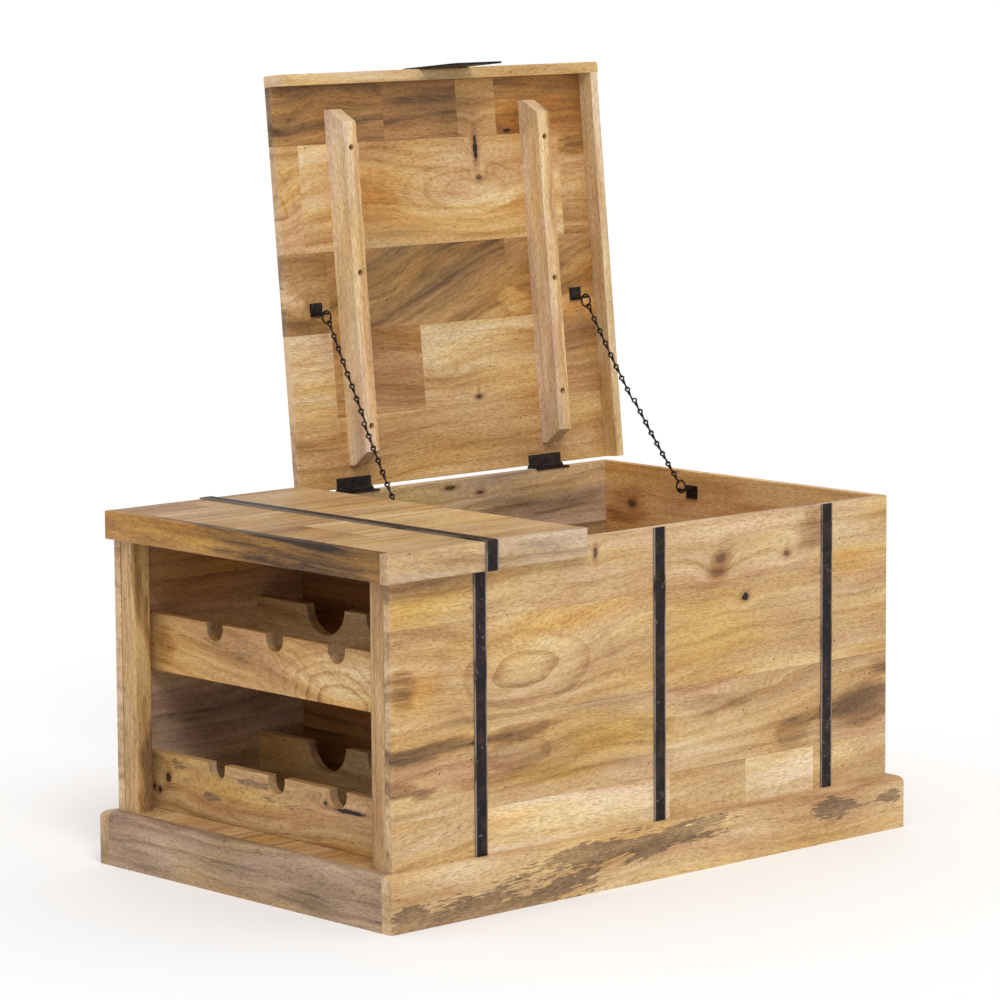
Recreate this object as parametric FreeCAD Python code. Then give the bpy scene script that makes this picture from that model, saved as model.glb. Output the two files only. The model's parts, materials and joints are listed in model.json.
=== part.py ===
import FreeCAD, Part
import math
import os

# Storage chest of solid wood with iron straps: a bottle rack behind an open left end, and a hinged
# lid over the storage box. Lengths are in millimetres. While the pieces are drawn, x runs from the
# left end of the plinth, y from its front and z from the floor.

# Body
plinth_length = 900.0
plinth_depth = 565.0
plinth_height = 70.0
plinth_thickness = 17.0
plinth_rounding = 10.0
body_height = 443.0
panel_thickness = 12.0
edge_easing = 1.0
partition_right_face = 328.0

# Bottle rack
post_size = 26.0
post_rounding = 4.0
rail_thickness = 14.0
rail_height = 74.0
rail_easing = 1.2
neck_rail_setback = 16.0
neck_rail_to_body_rail = 182.0
tier_pitch = 179.0
bottle_pitch = 117.5
bottle_count = 3
neck_notch_width = 32.0
neck_notch_depth = 22.0
body_notch_width = 76.0
body_notch_depth = 36.0

# Fixed top and lid
top_thickness = 14.0
lip_height = 36.0
lip_thickness = 15.0
lip_rounding = 3.0
lid_side_gap = 2.0
lid_closing_gap = 1.2
lid_open_angle = 95.5
lid_lip_clearance = 1.0
batten_width = 22.0
batten_depth = 38.0
batten_front_inset = 33.0
batten_back_inset = 32.0
batten_bevel_length = 18.0
batten_bevel_depth = 28.0
left_batten_inset = 88.0
right_batten_inset = 112.0
left_batten_screw_shares = (0.11, 0.54, 0.89)
right_batten_screw_shares = (0.15, 0.48, 0.89)
counterbore_radius = 4.2
counterbore_depth = 14.0
batten_screw_head_radius = 3.7
batten_screw_head_height = 2.4
batten_screw_radius = 1.8
batten_screw_bite = 8.0

# Iron straps and their nails
strap_width = 20.0
strap_thickness = 2.0
strap_easing = 0.5
left_strap_inset = 143.0
right_strap_inset = 116.0
top_strap_inset = 150.0
strap_nail_shares = (0.05, 0.35, 0.66, 0.97)
top_strap_nail_shares = (0.06, 0.36, 0.66, 0.95)
nail_head_radius = 2.6
nail_head_height = 0.7
nail_radius = 1.2
nail_bite = 8.0
nail_clearance = 0.05

# Lift tab on the lid
tab_width = 88.0
tab_length = 72.0
tab_thickness = 2.5
tab_corner_radius = 8.0
tab_nail_share = 0.34

# Butt hinges
hinge_length = 60.0
hinge_leaf_width = 17.0
hinge_leaf_thickness = 2.0
hinge_leaf_gap = 0.4
hinge_barrel_radius = 3.5
hinge_axis_behind_back = 3.0
hinge_pin_radius = 1.6
hinge_pin_clearance = 0.05
hinge_pin_head_radius = 2.8
hinge_pin_head_thickness = 1.2
hinge_swing_clearance = 0.4
hinge_end_clearance = 0.3
hinge_screw_spacing = 19.0
hinge_screw_inset = 6.0
hinge_screw_head_radius = 2.6
hinge_screw_radius = 1.4
hinge_screw_bite = 9.0
hinge_screw_clearance = 0.05
left_hinge_inset = 93.0
right_hinge_inset = 131.0

# Lid chains
chain_plate_width = 20.0
chain_plate_height = 18.0
chain_plate_thickness = 2.5
chain_plate_easing = 0.6
left_lid_anchor_from_axis = 242.0
right_lid_anchor_from_axis = 233.0
left_lid_anchor_inset = 49.0
right_lid_anchor_inset = 52.0
staple_radius = 1.6
staple_span = 13.0
staple_reach = 19.0
staple_off_middle = 5.5
body_anchor_from_axis = 186.0
body_anchor_drop = 28.0
stud_radius = 1.6
stud_off_middle = 5.0
stud_reach = 24.0
stud_head_radius = 3.4
stud_head_thickness = 1.6
ring_from_wall = 19.0
ring_inner_radius = 7.2
ring_wire_radius = 1.2
link_inner_width = 4.0
link_wire_radius = 1.0
link_clearance = 0.3
upper_link_count = 8
lower_link_count = 8
chain_side_step = 1.4
left_chain_sag = 4.0
right_chain_sag = 9.0

# Positions that follow from the sizes above
body_left = plinth_thickness
body_right = plinth_length - plinth_thickness
body_front = plinth_thickness
body_back = plinth_depth - plinth_thickness
inside_front = body_front + panel_thickness
inside_back = body_back - panel_thickness
inside_right = body_right - panel_thickness
inside_middle = (inside_front + inside_back) / 2
floor_top = plinth_height
floor_bottom = plinth_height - panel_thickness
top_surface = body_height + top_thickness
lip_bottom = top_surface - lip_height
partition_left_face = partition_right_face - panel_thickness
neck_rail_face = body_left + post_size + neck_rail_setback
body_rail_face = neck_rail_face + neck_rail_to_body_rail
lid_underside = body_height + lid_closing_gap
lid_left = partition_right_face + lid_side_gap
lid_lip_gap = strap_thickness + lid_lip_clearance
lid_panel_front = body_front - lid_lip_gap
lid_panel_right = body_right + lid_lip_gap
lid_front = lid_panel_front - lip_thickness
lid_right = lid_panel_right + lip_thickness
axis_y = body_back + hinge_axis_behind_back
axis_z = body_height + lid_closing_gap / 2
left_hinge_center = lid_left + left_hinge_inset
right_hinge_center = lid_right - right_hinge_inset
hinge_centers = (left_hinge_center, right_hinge_center)
left_strap_center = body_left + left_strap_inset
right_strap_center = body_right - right_strap_inset
middle_strap_center = (left_strap_center + right_strap_center) / 2
top_strap_center = body_left + top_strap_inset

along_x = FreeCAD.Vector(1, 0, 0)
along_y = FreeCAD.Vector(0, 1, 0)
along_z = FreeCAD.Vector(0, 0, 1)
hinge_point = FreeCAD.Vector(0, axis_y, axis_z)
pieces = {}


def block(x_range, y_range, z_range):
    """A square-edged block between pairs of coordinates."""
    corner = FreeCAD.Vector(x_range[0], y_range[0], z_range[0])
    size_x = x_range[1] - x_range[0]
    size_y = y_range[1] - y_range[0]
    size_z = z_range[1] - z_range[0]
    return Part.makeBox(size_x, size_y, size_z, corner)


def board(x_range, y_range, z_range):
    """A board with all its edges lightly eased."""
    plain = block(x_range, y_range, z_range)
    return plain.makeFillet(edge_easing, plain.Edges)


def rod(start, direction, length, radius):
    """A round rod from a start point."""
    return Part.makeCylinder(radius, length, start, direction)


def opened(shape):
    """Turns a piece of the lid from its closed place to the open one."""
    turned = shape.copy()
    turned.rotate(hinge_point, along_x, -lid_open_angle)
    return turned


def opened_point(y, z, x):
    """Where a point of the closed lid comes to when the lid is open."""
    turn = FreeCAD.Rotation(along_x, -lid_open_angle)
    return hinge_point + turn.multVec(FreeCAD.Vector(x, y, z) - hinge_point)


def nail(head_point, outward):
    """A nail with a domed head, driven through an iron strap into the wood behind."""
    dome_radius = (nail_head_radius ** 2 + nail_head_height ** 2) / (2 * nail_head_height)
    dome_sink = dome_radius - nail_head_height
    rim_angle = math.degrees(math.asin(dome_sink / dome_radius))
    center = head_point - outward * dome_sink
    dome = Part.makeSphere(dome_radius, center, outward, rim_angle, 90, 360)
    shank = rod(head_point, -outward, strap_thickness + nail_bite, nail_radius)
    return dome.fuse(shank)


def nail_hole(head_point, outward):
    """The hole that a nail's shank fills."""
    depth = strap_thickness + nail_bite + nail_clearance
    return rod(head_point, -outward, depth, nail_radius + nail_clearance)


def without(shape, tools):
    """A shape with several others taken out of it."""
    for tool in tools:
        shape = shape.cut(tool)
    return shape


# Plinth: four skirting boards with a rounded top edge, standing against the foot of the body
def rounded_skirting(x_range, y_range, rounded_sides):
    plain = block(x_range, y_range, (0, plinth_height))
    chosen = []
    for edge in plain.Edges:
        middle = edge.CenterOfMass
        on_top = abs(middle.z - plinth_height) < edge_easing
        if on_top and any(abs(middle.dot(axis) - place) < edge_easing for axis, place in rounded_sides):
            chosen.append(edge)
    return plain.makeFillet(plinth_rounding, chosen)


end_sides = [(along_x, 0), (along_x, plinth_length)]
front_y = (0, plinth_thickness)
back_y = (plinth_depth - plinth_thickness, plinth_depth)
between_y = (plinth_thickness, plinth_depth - plinth_thickness)
full_x = (0, plinth_length)
pieces["plinth_front"] = rounded_skirting(full_x, front_y, end_sides + [(along_y, 0)])
pieces["plinth_back"] = rounded_skirting(full_x, back_y, end_sides + [(along_y, plinth_depth)])
left_x = (0, plinth_thickness)
right_x = (plinth_length - plinth_thickness, plinth_length)
pieces["plinth_left"] = rounded_skirting(left_x, between_y, [(along_x, 0)])
pieces["plinth_right"] = rounded_skirting(right_x, between_y, [(along_x, plinth_length)])

# Body box: long front and back panels, with the end, partition and floor panels between them
body_x = (body_left, body_right)
inside_y = (inside_front, inside_back)
front_panel = board(body_x, (body_front, inside_front), (0, body_height))
back_panel = board(body_x, (inside_back, body_back), (0, body_height))
right_end_panel = board((inside_right, body_right), inside_y, (0, body_height))
pieces["floor_panel"] = board((body_left, inside_right), inside_y, (floor_bottom, floor_top))
partition_x = (partition_left_face, partition_right_face)
partition_panel = board(partition_x, inside_y, (floor_top, body_height))


# Rack posts: square posts at the open end, rounded on their outer edges
def rack_post(y_range):
    plain = block((body_left, body_left + post_size), y_range, (floor_top, body_height))
    outer = []
    for edge in plain.Edges:
        middle = edge.CenterOfMass
        upright = abs(edge.Length - (body_height - floor_top)) < edge_easing
        if upright and abs(middle.x - body_left) < edge_easing:
            outer.append(edge)
    return plain.makeFillet(post_rounding, outer)


pieces["rack_post_front"] = rack_post((inside_front, inside_front + post_size))
pieces["rack_post_back"] = rack_post((inside_back - post_size, inside_back))


# Rack rails: boards on edge across the rack, notched on top for the necks or bodies of bottles
def notch(face_x, center_y, rail_top, width, depth):
    radius = width / 2
    round_center_z = rail_top - depth + radius
    start = FreeCAD.Vector(face_x - rail_thickness, center_y, round_center_z)
    through = rail_thickness * 3
    cutter = rod(start, along_x, through, radius)
    upright = block((start.x, start.x + through), (center_y - radius, center_y + radius),
                    (round_center_z, rail_top + radius))
    return cutter.fuse(upright).removeSplitter()


def rack_rail(face_x, bottom_z, width, depth):
    rail_top = bottom_z + rail_height
    rail = block((face_x, face_x + rail_thickness), inside_y, (bottom_z, rail_top))
    for index in range(bottle_count):
        center_y = inside_middle + (index - (bottle_count - 1) / 2) * bottle_pitch
        rail = rail.cut(notch(face_x, center_y, rail_top, width, depth))
    long_edges = []
    for edge in rail.Edges:
        middle = edge.CenterOfMass
        on_face = abs(middle.x - face_x) < edge_easing
        on_back = abs(middle.x - face_x - rail_thickness) < edge_easing
        inside_ends = inside_front + edge_easing < middle.y < inside_back - edge_easing
        if (on_face or on_back) and inside_ends:
            long_edges.append(edge)
    return rail.makeFillet(rail_easing, long_edges)


for tier, name in enumerate(("lower", "upper")):
    bottom_z = floor_top + tier * tier_pitch
    neck_rail = rack_rail(neck_rail_face, bottom_z, neck_notch_width, neck_notch_depth)
    pieces[name + "_neck_rail"] = neck_rail
    body_rail = rack_rail(body_rail_face, bottom_z, body_notch_width, body_notch_depth)
    pieces[name + "_body_rail"] = body_rail

# Fixed top over the rack: a panel with deep lips along its front and left edges
lip_z = (lip_bottom, top_surface)
fixed_x = (body_left, partition_right_face)
fixed_top_panel = board(fixed_x, (body_front, body_back), (body_height, top_surface))
fixed_lip_y = (body_front - lip_thickness, body_front)
fixed_lip_left = body_left - lip_thickness


def eased_lip(x_range, y_range, axis, outer_place):
    plain = block(x_range, y_range, lip_z)
    outer = []
    for edge in plain.Edges:
        if abs(edge.CenterOfMass.dot(axis) - outer_place) < edge_easing:
            outer.append(edge)
    return plain.makeFillet(lip_rounding, outer)


fixed_front_lip = eased_lip((fixed_lip_left, partition_right_face), fixed_lip_y, along_y, fixed_lip_y[0])
left_lip_y = (body_front, body_back)
left_lip_x = (fixed_lip_left, body_left)
pieces["fixed_top_left_lip"] = eased_lip(left_lip_x, left_lip_y, along_x, fixed_lip_left)

# Front straps: flat iron bars nailed upright on the front panel
strap_nails = []
front_holes = []
front_straps = (
    ("front_strap_left", left_strap_center, lip_bottom),
    ("front_strap_middle", middle_strap_center, body_height),
    ("front_strap_right", right_strap_center, body_height),
)
strap_face = body_front - strap_thickness
toward_front = -along_y
for name, center_x, strap_top in front_straps:
    strap_x = (center_x - strap_width / 2, center_x + strap_width / 2)
    plain = block(strap_x, (strap_face, body_front), (plinth_height, strap_top))
    strap = plain.makeFillet(strap_easing, plain.Edges)
    for share in strap_nail_shares:
        nail_z = plinth_height + share * (strap_top - plinth_height)
        head_point = FreeCAD.Vector(center_x, strap_face, nail_z)
        strap_nails.append(nail(head_point, toward_front))
        front_holes.append(nail_hole(head_point, toward_front))
        strap = strap.cut(nail_hole(head_point, toward_front))
    pieces[name] = strap
pieces["front_panel"] = without(front_panel, front_holes)

# Strap over the fixed top, bent down over its front lip beside the left front strap
fold_face = fixed_lip_y[0] - strap_thickness
strap_x = (top_strap_center - strap_width / 2, top_strap_center + strap_width / 2)
flat_part = block(strap_x, (fold_face, body_back), (top_surface, top_surface + strap_thickness))
fold_part = block(strap_x, (fold_face, fixed_lip_y[0]), (lip_bottom, top_surface + strap_thickness))
top_strap = flat_part.fuse(fold_part).removeSplitter()
fold_edges = []
for edge in top_strap.Edges:
    middle = edge.CenterOfMass
    on_front = abs(middle.y - fold_face) < edge_easing
    on_top = abs(middle.z - top_surface - strap_thickness) < edge_easing
    if on_front and on_top:
        fold_edges.append(edge)
top_strap = top_strap.makeFillet(strap_thickness, fold_edges)
top_holes = []
for share in top_strap_nail_shares:
    nail_y = body_front + share * (body_back - body_front)
    head_point = FreeCAD.Vector(top_strap_center, nail_y, top_surface + strap_thickness)
    strap_nails.append(nail(head_point, along_z))
    top_holes.append(nail_hole(head_point, along_z))
fold_nail_z = lip_bottom + lip_height / 2
fold_nail_point = FreeCAD.Vector(top_strap_center, fold_face, fold_nail_z)
strap_nails.append(nail(fold_nail_point, toward_front))
lip_hole = nail_hole(fold_nail_point, toward_front)
pieces["fixed_top_strap"] = without(top_strap, top_holes + [lip_hole])
pieces["fixed_top_panel"] = without(fixed_top_panel, top_holes)
pieces["fixed_top_front_lip"] = fixed_front_lip.cut(lip_hole)
pieces["strap_nails"] = Part.makeCompound(strap_nails)

# Butt hinges: each has a leaf on the back panel, a leaf under the lid and a pin through both
leaf_y = (axis_y - hinge_leaf_width, axis_y)
body_leaf_top = axis_z - hinge_leaf_gap / 2
body_leaf_z = (body_leaf_top - hinge_leaf_thickness, body_leaf_top)
lid_leaf_bottom = axis_z + hinge_leaf_gap / 2
lid_leaf_z = (lid_leaf_bottom, lid_leaf_bottom + hinge_leaf_thickness)
screw_y = leaf_y[0] + hinge_screw_inset
seat_clearance = hinge_screw_clearance


def knuckle_rod(center_x, first_share, last_share, radius):
    start_x = center_x + first_share * hinge_length
    length = (last_share - first_share) * hinge_length
    return rod(FreeCAD.Vector(start_x, axis_y, axis_z), along_x, length, radius)


def end_trim(rod_shape, trim):
    box = rod_shape.BoundBox
    trimmed = block((box.XMin + trim, box.XMax - trim), (box.YMin - trim, box.YMax + trim),
                    (box.ZMin - trim, box.ZMax + trim))
    return rod_shape.common(trimmed)


def hinge_leaf(center_x, leaf_z, own_shares, other_shares):
    leaf_x = (center_x - hinge_length / 2, center_x + hinge_length / 2)
    leaf = block(leaf_x, leaf_y, leaf_z)
    swing_radius = hinge_barrel_radius + hinge_swing_clearance
    for first_share, last_share in other_shares:
        room = knuckle_rod(center_x, first_share, last_share, swing_radius)
        leaf = leaf.cut(room)
    for first_share, last_share in own_shares:
        knuckle = knuckle_rod(center_x, first_share, last_share, hinge_barrel_radius)
        leaf = leaf.fuse(end_trim(knuckle, hinge_end_clearance / 2))
    pin_room = knuckle_rod(center_x, -1, 1, hinge_pin_radius + hinge_pin_clearance)
    return leaf.cut(pin_room).removeSplitter()


def hinge_screw(center_x, step, face_z, inward):
    place = FreeCAD.Vector(center_x + step * hinge_screw_spacing, screw_y, face_z)
    head = rod(place, inward, hinge_leaf_thickness, hinge_screw_head_radius)
    below = place + inward * hinge_leaf_thickness
    shank = rod(below, inward, hinge_screw_bite, hinge_screw_radius)
    head_room = rod(place, inward, hinge_leaf_thickness, hinge_screw_head_radius + hinge_screw_clearance)
    bite_room = hinge_screw_bite + hinge_screw_clearance
    shank_room = rod(below, inward, bite_room, hinge_screw_radius + hinge_screw_clearance)
    return head.fuse(shank), head_room, shank_room


def leaf_seat(center_x, leaf_z):
    reach_x = hinge_length / 2 + seat_clearance
    seat_x = (center_x - reach_x, center_x + reach_x)
    seat_y = (leaf_y[0] - seat_clearance, axis_y + hinge_leaf_width)
    seat = block(seat_x, seat_y, leaf_z)
    barrel_room = knuckle_rod(center_x, -1, 1, hinge_barrel_radius + hinge_swing_clearance)
    room_x = block(seat_x, (axis_y - hinge_leaf_width, axis_y + hinge_leaf_width),
                   (axis_z - hinge_leaf_width, axis_z + hinge_leaf_width))
    return seat.fuse(barrel_room.common(room_x))


outer_shares = ((-1 / 2, -1 / 6), (1 / 6, 1 / 2))
inner_shares = ((-1 / 6, 1 / 6),)
body_screws = []
lid_screws = []
back_cuts = []
lid_cuts = []
for side, center_x in zip(("left", "right"), hinge_centers):
    body_leaf = hinge_leaf(center_x, body_leaf_z, outer_shares, inner_shares)
    lid_leaf = hinge_leaf(center_x, lid_leaf_z, inner_shares, outer_shares)
    for step in (-1, 0, 1):
        screw, head_room, shank_room = hinge_screw(center_x, step, body_leaf_z[1], -along_z)
        body_screws.append(screw)
        body_leaf = body_leaf.cut(head_room)
        back_cuts.append(shank_room)
        screw, head_room, shank_room = hinge_screw(center_x, step, lid_leaf_z[0], along_z)
        lid_screws.append(screw)
        lid_leaf = lid_leaf.cut(head_room)
        lid_cuts.append(shank_room)
    back_cuts.append(leaf_seat(center_x, (body_leaf_z[0], body_height + lid_closing_gap)))
    lid_cuts.append(leaf_seat(center_x, (body_height, lid_leaf_z[1])))
    pin = knuckle_rod(center_x, -1 / 2, 1 / 2, hinge_pin_radius)
    for outward_share in (-1 / 2, 1 / 2):
        button_x = center_x + outward_share * hinge_length
        outward = along_x if outward_share > 0 else -along_x
        button_start = FreeCAD.Vector(button_x, axis_y, axis_z)
        pin = pin.fuse(rod(button_start, outward, hinge_pin_head_thickness, hinge_pin_head_radius))
    pieces["hinge_" + side + "_body_leaf"] = body_leaf
    pieces["hinge_" + side + "_lid_leaf"] = opened(lid_leaf)
    pieces["hinge_" + side + "_pin"] = pin.removeSplitter()
pieces["hinge_body_screws"] = Part.makeCompound(body_screws)
pieces["hinge_lid_screws"] = opened(Part.makeCompound(lid_screws))
pieces["back_panel"] = without(back_panel, back_cuts)

# Lid: a panel with deep lips along its front and right edges, stiffened by two battens
lid_panel = board((lid_left, lid_panel_right), (lid_panel_front, body_back), (lid_underside, top_surface))
lid_panel = without(lid_panel, lid_cuts)
lid_front_y = (lid_front, lid_panel_front)
lid_front_lip = eased_lip((lid_left, lid_right), lid_front_y, along_y, lid_front)
lid_right_x = (lid_panel_right, lid_right)
lid_right_lip = eased_lip(lid_right_x, (lid_panel_front, body_back), along_x, lid_right)
pieces["lid_right_lip"] = opened(lid_right_lip)

batten_back = axis_y - batten_back_inset
batten_front = lid_panel_front + batten_front_inset
batten_length = batten_back - batten_front
batten_bottom = lid_underside - batten_depth
left_batten_x = lid_left + left_batten_inset
right_batten_x = lid_right - right_batten_inset - batten_width
batten_screws = []


def batten_profile(x):
    bevel_z = batten_bottom + batten_bevel_depth
    outline = [
        FreeCAD.Vector(x, batten_front, lid_underside),
        FreeCAD.Vector(x, batten_front, bevel_z),
        FreeCAD.Vector(x, batten_front + batten_bevel_length, batten_bottom),
        FreeCAD.Vector(x, batten_back - batten_bevel_length, batten_bottom),
        FreeCAD.Vector(x, batten_back, bevel_z),
        FreeCAD.Vector(x, batten_back, lid_underside),
        FreeCAD.Vector(x, batten_front, lid_underside),
    ]
    return Part.Face(Part.makePolygon(outline))


batten_sides = (
    ("left", left_batten_x, left_batten_screw_shares),
    ("right", right_batten_x, right_batten_screw_shares),
)
for side, start_x, screw_shares in batten_sides:
    plain = batten_profile(start_x).extrude(along_x * batten_width)
    soft = [edge for edge in plain.Edges if edge.CenterOfMass.z < lid_underside - edge_easing]
    batten = plain.makeFillet(edge_easing, soft)
    center_x = start_x + batten_width / 2
    for share in screw_shares:
        place_y = batten_back - share * batten_length
        mouth = FreeCAD.Vector(center_x, place_y, batten_bottom)
        seat = mouth + along_z * counterbore_depth
        shank_length = batten_depth - counterbore_depth + batten_screw_bite
        head_start = seat - along_z * batten_screw_head_height
        head = rod(head_start, along_z, batten_screw_head_height, batten_screw_head_radius)
        shank = rod(seat, along_z, shank_length, batten_screw_radius)
        batten_screws.append(head.fuse(shank).removeSplitter())
        room_length = shank_length + nail_clearance
        shank_room = rod(seat, along_z, room_length, batten_screw_radius + nail_clearance)
        batten = batten.cut(rod(mouth, along_z, counterbore_depth, counterbore_radius))
        batten = batten.cut(shank_room)
        lid_panel = lid_panel.cut(shank_room)
    pieces["lid_batten_" + side] = opened(batten)
pieces["batten_screws"] = opened(Part.makeCompound(batten_screws))
pieces["lid_panel"] = opened(lid_panel)

# Lift tab: a flat iron plate nailed on the lid's front lip and hanging below it as a grip
tab_center = (lid_left + lid_right) / 2
tab_x = (tab_center - tab_width / 2, tab_center + tab_width / 2)
tab_face = lid_front - tab_thickness
tab = block(tab_x, (tab_face, lid_front), (lip_bottom - tab_length, top_surface - lip_rounding))
tab_corners = []
for edge in tab.Edges:
    short = edge.Length < tab_thickness + edge_easing
    if short and edge.CenterOfMass.z < lip_bottom - edge_easing:
        tab_corners.append(edge)
tab = tab.makeFillet(tab_corner_radius, tab_corners)
tab_nails = []
for step in (-1, 1):
    nail_x = tab_center + step * tab_nail_share * tab_width
    head_point = FreeCAD.Vector(nail_x, tab_face, lip_bottom + lip_height / 2)
    tab_nails.append(nail(head_point, toward_front))
    tab = tab.cut(nail_hole(head_point, toward_front))
    lid_front_lip = lid_front_lip.cut(nail_hole(head_point, toward_front))
pieces["lid_pull_tab"] = opened(tab)
pieces["lid_pull_tab_nails"] = opened(Part.makeCompound(tab_nails))
pieces["lid_front_lip"] = opened(lid_front_lip)

# Chain anchors: a plate and staple under the lid, a plate and headed stud on the wall facing it
left_lid_anchor = (lid_left + left_lid_anchor_inset, axis_y - left_lid_anchor_from_axis)
right_lid_anchor = (lid_right - right_lid_anchor_inset, axis_y - right_lid_anchor_from_axis)
crown_z = lid_underside - staple_reach
body_anchor_y = axis_y - body_anchor_from_axis
body_anchor_z = body_height - body_anchor_drop
stud_z = body_anchor_z + stud_off_middle


def lid_anchor(center_x, center_y):
    plate_x = (center_x - chain_plate_width / 2, center_x + chain_plate_width / 2)
    plate_y = (center_y - chain_plate_height / 2, center_y + chain_plate_height / 2)
    staple_y = center_y + staple_off_middle
    plain = block(plate_x, plate_y, (lid_underside - chain_plate_thickness, lid_underside))
    anchor = plain.makeFillet(chain_plate_easing, plain.Edges)
    half_span = staple_span / 2
    for side in (-1, 1):
        foot = FreeCAD.Vector(center_x + side * half_span, staple_y, lid_underside - chain_plate_easing)
        leg_length = staple_reach - chain_plate_easing
        anchor = anchor.fuse(rod(foot, -along_z, leg_length, staple_radius))
        corner = FreeCAD.Vector(center_x + side * half_span, staple_y, crown_z)
        anchor = anchor.fuse(Part.makeSphere(staple_radius, corner))
    crown_start = FreeCAD.Vector(center_x - half_span, staple_y, crown_z)
    return anchor.fuse(rod(crown_start, along_x, staple_span, staple_radius)).removeSplitter()


def body_anchor(wall_x, outward):
    plate_end = wall_x + outward.x * chain_plate_thickness
    plate_x = (min(wall_x, plate_end), max(wall_x, plate_end))
    plate_y = (body_anchor_y - chain_plate_width / 2, body_anchor_y + chain_plate_width / 2)
    plate_z = (body_anchor_z - chain_plate_height / 2, body_anchor_z + chain_plate_height / 2)
    plain = block(plate_x, plate_y, plate_z)
    anchor = plain.makeFillet(chain_plate_easing, plain.Edges)
    root = FreeCAD.Vector(wall_x, body_anchor_y, stud_z) + outward * chain_plate_easing
    anchor = anchor.fuse(rod(root, outward, stud_reach - chain_plate_easing, stud_radius))
    head_start = FreeCAD.Vector(wall_x, body_anchor_y, stud_z) + outward * stud_reach
    return anchor.fuse(rod(head_start, outward, stud_head_thickness, stud_head_radius)).removeSplitter()


pieces["left_lid_chain_anchor"] = opened(lid_anchor(*left_lid_anchor))
pieces["right_lid_chain_anchor"] = opened(lid_anchor(*right_lid_anchor))
pieces["left_body_chain_anchor"] = body_anchor(partition_right_face, along_x)
pieces["right_body_chain_anchor"] = body_anchor(inside_right, -along_x)
pieces["partition_panel"] = partition_panel
pieces["right_end_panel"] = right_end_panel


# Chains: welded links between a ring on each anchor, hanging a little slack with the lid open
def ring_on(pivot, chain_way, bar_radius):
    offset = ring_inner_radius - bar_radius - link_clearance
    center = pivot + chain_way * offset
    ring = Part.makeTorus(ring_inner_radius + ring_wire_radius, ring_wire_radius, center, along_x)
    return ring, center + chain_way * ring_inner_radius


def link_at(start, way, across, inner_length):
    """One link: two straight sides and two half-round ends, lying in the plane of way and across."""
    bend_radius = link_inner_width / 2 + link_wire_radius
    straight = inner_length - link_inner_width
    normal = way.cross(across)
    first_center = start + way * (link_inner_width / 2)
    last_center = first_center + way * straight
    first_side = first_center + across * bend_radius
    first_end = first_center - way * bend_radius
    second_side = first_center - across * bend_radius
    last_side = last_center - across * bend_radius
    last_end = last_center + way * bend_radius
    closing_side = last_center + across * bend_radius
    path = Part.Wire([
        Part.Arc(first_side, first_end, second_side).toShape(),
        Part.LineSegment(second_side, last_side).toShape(),
        Part.Arc(last_side, last_end, closing_side).toShape(),
        Part.LineSegment(closing_side, first_side).toShape(),
    ])
    profile = Part.Wire([Part.makeCircle(link_wire_radius, first_side, way)])
    return path.makePipeShell([profile], True, True)


def link_run(points):
    """A run of links, each between two neighbouring points and turned a quarter from the last."""
    links = []
    for index in range(len(points) - 1):
        way = points[index + 1] - points[index]
        pitch = way.Length
        way.normalize()
        flat = (along_x - way * way.dot(along_x)).normalize()
        across = flat if index % 2 == 0 else way.cross(flat)
        link_start = points[index] - way * link_clearance
        links.append(link_at(link_start, way, across, pitch + link_clearance))
    return Part.makeCompound(links)


def chain(side, lid_anchor_place, stud_x, step_x, sag):
    anchor_x, anchor_y = lid_anchor_place
    lid_pivot = opened_point(anchor_y + staple_off_middle, crown_z, anchor_x)
    body_pivot = FreeCAD.Vector(stud_x, body_anchor_y, stud_z)
    upright_line = lid_pivot - body_pivot
    upright_line.x = 0
    up_way = upright_line.normalize()
    upper_ring, upper_start = ring_on(lid_pivot, -up_way, staple_radius)
    lower_ring, lower_start = ring_on(body_pivot, up_way, stud_radius)
    link_count = lower_link_count + upper_link_count

    def slack_point(links_up, side_step):
        share = links_up / link_count
        straight = lower_start + (upper_start - lower_start) * share
        return straight + along_x * side_step - along_z * (4 * sag * share * (1 - share))

    lower_points = []
    for number in range(lower_link_count + 1):
        lower_points.append(slack_point(number, -step_x * number / lower_link_count))
    upper_points = []
    for number in range(upper_link_count + 1):
        upper_points.append(slack_point(link_count - number, step_x * number / upper_link_count))
    pieces[side + "_chain_upper_ring"] = upper_ring
    pieces[side + "_chain_upper_links"] = link_run(upper_points)
    pieces[side + "_chain_lower_ring"] = lower_ring
    pieces[side + "_chain_lower_links"] = link_run(lower_points)


left_stud_x = partition_right_face + ring_from_wall
right_stud_x = inside_right - ring_from_wall
chain("left", left_lid_anchor, left_stud_x, chain_side_step, left_chain_sag)
chain("right", right_lid_anchor, right_stud_x, -chain_side_step, right_chain_sag)

# Frame: the origin is on the floor, under the middle of the opened chest
overall = Part.makeCompound(list(pieces.values())).BoundBox
shift = FreeCAD.Vector(-(overall.XMin + overall.XMax) / 2, -(overall.YMin + overall.YMax) / 2, 0)
os.makedirs("parts", exist_ok=True)
for name, shape in pieces.items():
    placed = shape.copy()
    placed.translate(shift)
    placed.exportStep("parts/" + name + ".step")
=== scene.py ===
import json
import math

import bpy
from mathutils import Matrix, Vector


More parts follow.
